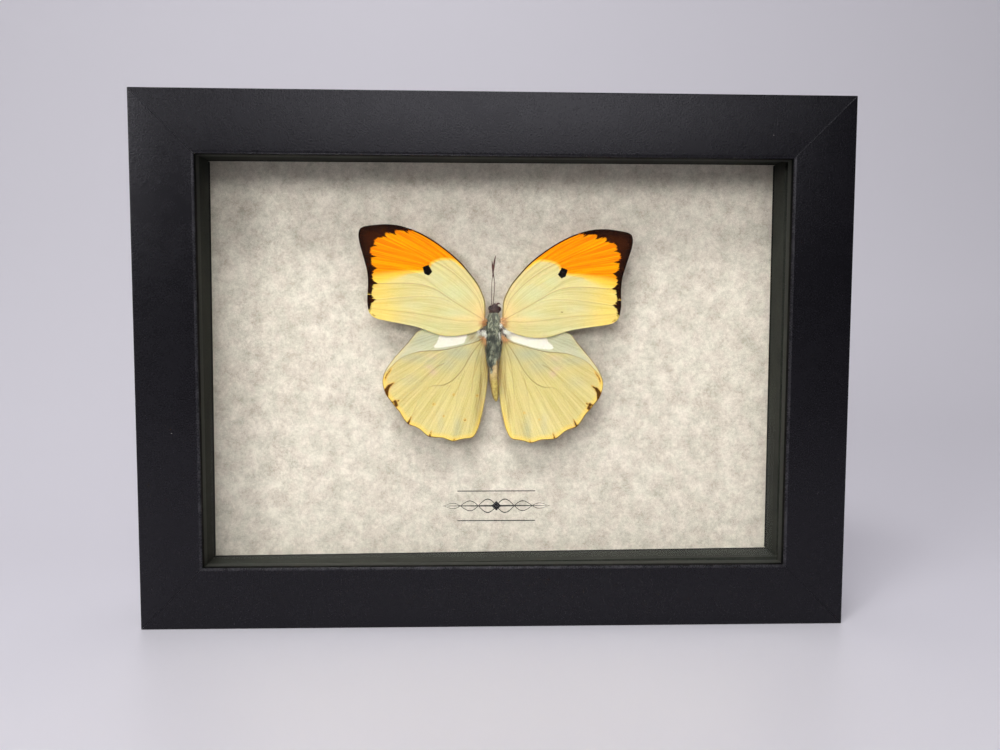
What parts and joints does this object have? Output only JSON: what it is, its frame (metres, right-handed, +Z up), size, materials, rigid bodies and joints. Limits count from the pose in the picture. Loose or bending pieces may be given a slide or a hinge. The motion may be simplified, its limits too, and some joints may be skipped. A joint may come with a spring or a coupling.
{
  "type": "framed butterfly specimen",
  "caption": "Spread dried butterfly over mottled paper behind glass in a deep black box frame that stands on its lower rail or hangs on a wall.",
  "frame": {"origin": "middle of the underside of the lower rail", "axes": "+X to the right seen from the front, +Y from the glass towards the back, +Z up"},
  "size_m": [0.203, 0.033, 0.152],
  "materials": {
    "frame_finish": "fibreboard moulding wrapped in satin black foil with a fine grain",
    "clear_glass": "clear, polished",
    "spacer_black": "satin black strip",
    "mottled_paper": "matt parchment paper with soft warm grey clouds and fine fibres",
    "white_foam": "matt fine foam",
    "fibreboard": "bare brown hardboard",
    "steel": "bright stamped steel",
    "wing_scales": "matt powdery scales, pale yellow with orange and dark brown markings",
    "insect_body": "grey-green hair over dull horn"
  },
  "bodies": {
    "root": {"frame_rail_bottom": "frame_finish", "frame_rail_top": "frame_finish", "frame_rail_left": "frame_finish", "frame_rail_right": "frame_finish", "retaining_tab_bottom_1": "steel", "retaining_tab_bottom_2": "steel", "retaining_tab_top_1": "steel", "retaining_tab_top_2": "steel", "retaining_tab_left_1": "steel", "retaining_tab_right_1": "steel", "glass_pane": "clear_glass", "spacer_top": "spacer_black", "spacer_bottom": "spacer_black", "spacer_left": "spacer_black", "spacer_right": "spacer_black", "backing_paper": "mottled_paper", "foam_board": "white_foam", "back_panel": "fibreboard", "sawtooth_hanger": "steel", "mounting_pin": "steel", "butterfly_body": "insect_body", "forewing_left": "wing_scales", "forewing_right": "wing_scales", "hindwing_left": "wing_scales", "hindwing_right": "wing_scales"}
  },
  "joints": []
}
